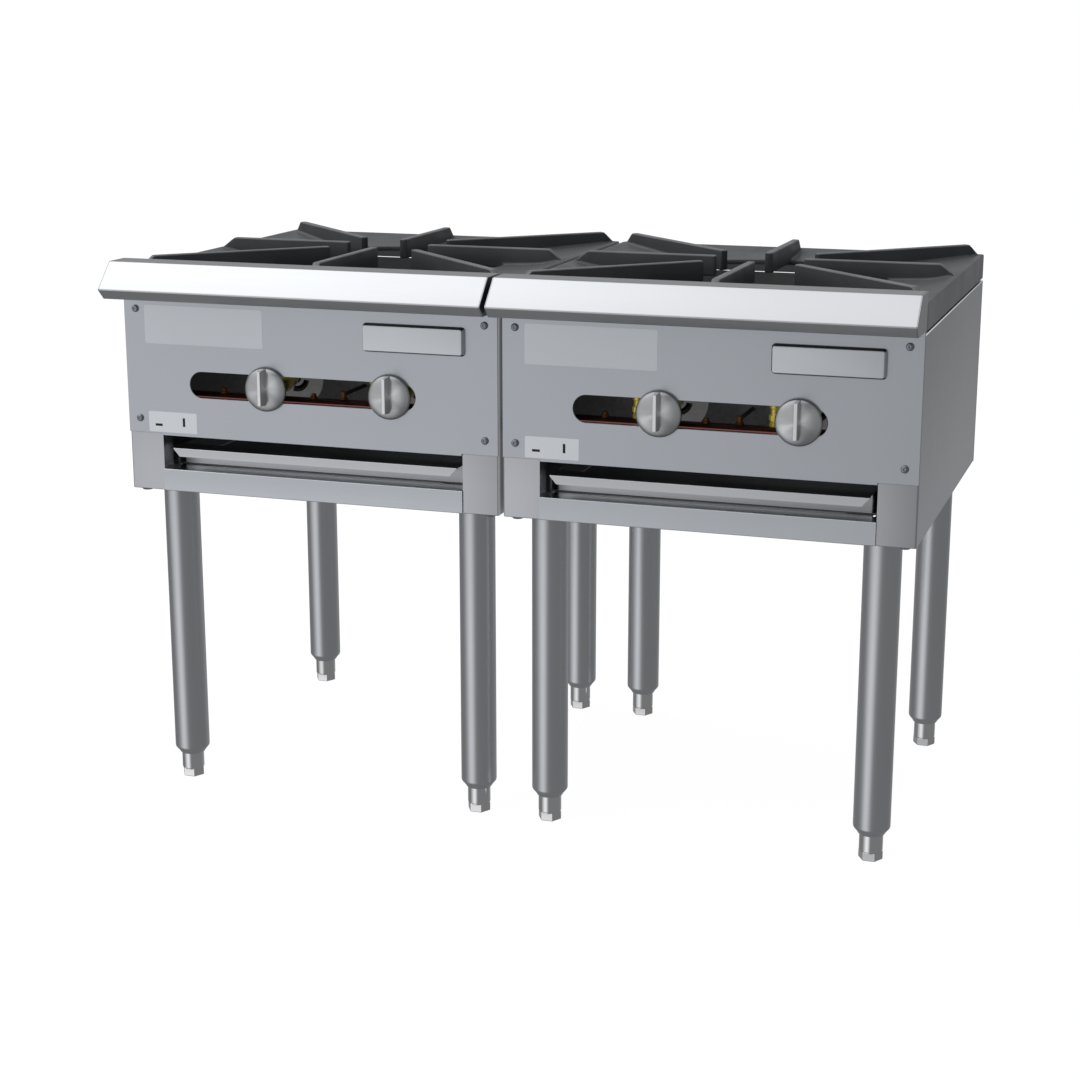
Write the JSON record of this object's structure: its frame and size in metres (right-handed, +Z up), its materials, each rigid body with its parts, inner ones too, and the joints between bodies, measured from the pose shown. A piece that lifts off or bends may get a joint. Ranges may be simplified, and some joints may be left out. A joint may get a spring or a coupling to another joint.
{
  "type": "stock pot range",
  "caption": "Two-section free-standing gas stock pot range with fin grates over ring burners, bullnose rails, knob slots, drip trays and tall tube legs.",
  "frame": {"origin": "middle of the outer box, on the floor", "axes": "+X to the right seen from the front, +Y to the back, +Z up"},
  "size_m": [0.9196, 0.5254, 0.6371],
  "materials": {
    "stainless": "brushed stainless sheet",
    "badge": "satin plate, blank",
    "galvanised": "galvanised sheet",
    "aluminised": "aluminised sheet",
    "cast_iron": "bare casting with a grey coat",
    "chrome": "satin chrome",
    "brass": "plain brass",
    "gas_pipe": "red-brown primer",
    "leg_steel": "polished tube",
    "bolt_steel": "zinc plated"
  },
  "bodies": {
    "range_frame": {"left_front_rail": "stainless", "left_control_panel": "stainless", "left_name_plate": "badge", "left_lower_front_bar": "stainless", "left_outer_side_panel": "stainless", "left_inner_side_panel": "stainless", "left_back_panel": "galvanised", "left_base_frame": "galvanised", "left_outer_ring_burner": "cast_iron", "left_inner_ring_burner": "cast_iron", "left_burner_cradle": "aluminised", "left_pilot": "brass", "left_outer_ring_valve": "brass", "left_inner_ring_valve": "brass", "left_front_outer_leg": "leg_steel", "left_front_inner_leg": "leg_steel", "left_back_outer_leg": "leg_steel", "left_back_inner_leg": "leg_steel", "right_front_rail": "stainless", "right_control_panel": "stainless", "right_name_plate": "badge", "right_lower_front_bar": "stainless", "right_outer_side_panel": "stainless", "right_inner_side_panel": "stainless", "right_back_panel": "galvanised", "right_base_frame": "galvanised", "right_outer_ring_burner": "cast_iron", "right_inner_ring_burner": "cast_iron", "right_burner_cradle": "aluminised", "right_pilot": "brass", "right_outer_ring_valve": "brass", "right_inner_ring_valve": "brass", "right_front_outer_leg": "leg_steel", "right_front_inner_leg": "leg_steel", "right_back_outer_leg": "leg_steel", "right_back_inner_leg": "leg_steel", "gas_manifold": "gas_pipe", "gas_inlet_pipe": "gas_pipe", "front_joining_bolt": "bolt_steel", "back_joining_bolt": "bolt_steel"},
    "left_top_grate_body": {"left_top_grate": "cast_iron"},
    "left_drip_tray_body": {"left_drip_tray": "galvanised"},
    "left_outer_ring_knob_body": {"left_outer_ring_knob": "chrome"},
    "left_inner_ring_knob_body": {"left_inner_ring_knob": "chrome"},
    "left_outer_ring_air_shutter_body": {"left_outer_ring_air_shutter": "aluminised"},
    "left_inner_ring_air_shutter_body": {"left_inner_ring_air_shutter": "aluminised"},
    "left_front_outer_foot_body": {"left_front_outer_foot": "leg_steel"},
    "left_front_inner_foot_body": {"left_front_inner_foot": "leg_steel"},
    "left_back_outer_foot_body": {"left_back_outer_foot": "leg_steel"},
    "left_back_inner_foot_body": {"left_back_inner_foot": "leg_steel"},
    "right_top_grate_body": {"right_top_grate": "cast_iron"},
    "right_drip_tray_body": {"right_drip_tray": "galvanised"},
    "right_outer_ring_knob_body": {"right_outer_ring_knob": "chrome"},
    "right_inner_ring_knob_body": {"right_inner_ring_knob": "chrome"},
    "right_outer_ring_air_shutter_body": {"right_outer_ring_air_shutter": "aluminised"},
    "right_inner_ring_air_shutter_body": {"right_inner_ring_air_shutter": "aluminised"},
    "right_front_outer_foot_body": {"right_front_outer_foot": "leg_steel"},
    "right_front_inner_foot_body": {"right_front_inner_foot": "leg_steel"},
    "right_back_outer_foot_body": {"right_back_outer_foot": "leg_steel"},
    "right_back_inner_foot_body": {"right_back_inner_foot": "leg_steel"}
  },
  "joints": [
    {"name": "left_grate_lift", "type": "slide", "parent": "range_frame", "child": "left_top_grate_body", "axis": [0, 0, 1], "range_m": [0, 0.06]},
    {"name": "left_drip_tray_slide", "type": "slide", "parent": "range_frame", "child": "left_drip_tray_body", "axis": [0, -1, 0], "range_m": [0, 0.35]},
    {"name": "left_outer_ring_knob_turn", "type": "hinge", "parent": "range_frame", "child": "left_outer_ring_knob_body", "pos_m": [-0.1303, -0.21815, 0.495], "axis": [0, -1, 0], "range_deg": [0, 90]},
    {"name": "left_outer_ring_air_shutter_turn", "type": "hinge", "parent": "range_frame", "child": "left_outer_ring_air_shutter_body", "pos_m": [-0.1303, -0.12455, 0.495], "axis": [0, -1, 0], "range_deg": [-45, 45]},
    {"name": "left_inner_ring_knob_turn", "type": "hinge", "parent": "range_frame", "child": "left_inner_ring_knob_body", "pos_m": [-0.282, -0.21815, 0.495], "axis": [0, -1, 0], "range_deg": [0, 90]},
    {"name": "left_inner_ring_air_shutter_turn", "type": "hinge", "parent": "range_frame", "child": "left_inner_ring_air_shutter_body", "pos_m": [-0.282, -0.12455, 0.495], "axis": [0, -1, 0], "range_deg": [-45, 45]},
    {"name": "left_front_outer_foot_screw", "type": "slide", "parent": "range_frame", "child": "left_front_outer_foot_body", "axis": [0, 0, -1], "range_m": [0, 0.025]},
    {"name": "left_front_inner_foot_screw", "type": "slide", "parent": "range_frame", "child": "left_front_inner_foot_body", "axis": [0, 0, -1], "range_m": [0, 0.025]},
    {"name": "left_back_outer_foot_screw", "type": "slide", "parent": "range_frame", "child": "left_back_outer_foot_body", "axis": [0, 0, -1], "range_m": [0, 0.025]},
    {"name": "left_back_inner_foot_screw", "type": "slide", "parent": "range_frame", "child": "left_back_inner_foot_body", "axis": [0, 0, -1], "range_m": [0, 0.025]},
    {"name": "right_grate_lift", "type": "slide", "parent": "range_frame", "child": "right_top_grate_body", "axis": [0, 0, 1], "range_m": [0, 0.06]},
    {"name": "right_drip_tray_slide", "type": "slide", "parent": "range_frame", "child": "right_drip_tray_body", "axis": [0, -1, 0], "range_m": [0, 0.35]},
    {"name": "right_outer_ring_knob_turn", "type": "hinge", "parent": "range_frame", "child": "right_outer_ring_knob_body", "pos_m": [0.3321, -0.21815, 0.495], "axis": [0, -1, 0], "range_deg": [0, 90]},
    {"name": "right_outer_ring_air_shutter_turn", "type": "hinge", "parent": "range_frame", "child": "right_outer_ring_air_shutter_body", "pos_m": [0.3321, -0.12455, 0.495], "axis": [0, -1, 0], "range_deg": [-45, 45]},
    {"name": "right_inner_ring_knob_turn", "type": "hinge", "parent": "range_frame", "child": "right_inner_ring_knob_body", "pos_m": [0.1804, -0.21815, 0.495], "axis": [0, -1, 0], "range_deg": [0, 90]},
    {"name": "right_inner_ring_air_shutter_turn", "type": "hinge", "parent": "range_frame", "child": "right_inner_ring_air_shutter_body", "pos_m": [0.1804, -0.12455, 0.495], "axis": [0, -1, 0], "range_deg": [-45, 45]},
    {"name": "right_front_outer_foot_screw", "type": "slide", "parent": "range_frame", "child": "right_front_outer_foot_body", "axis": [0, 0, -1], "range_m": [0, 0.025]},
    {"name": "right_front_inner_foot_screw", "type": "slide", "parent": "range_frame", "child": "right_front_inner_foot_body", "axis": [0, 0, -1], "range_m": [0, 0.025]},
    {"name": "right_back_outer_foot_screw", "type": "slide", "parent": "range_frame", "child": "right_back_outer_foot_body", "axis": [0, 0, -1], "range_m": [0, 0.025]},
    {"name": "right_back_inner_foot_screw", "type": "slide", "parent": "range_frame", "child": "right_back_inner_foot_body", "axis": [0, 0, -1], "range_m": [0, 0.025]}
  ]
}
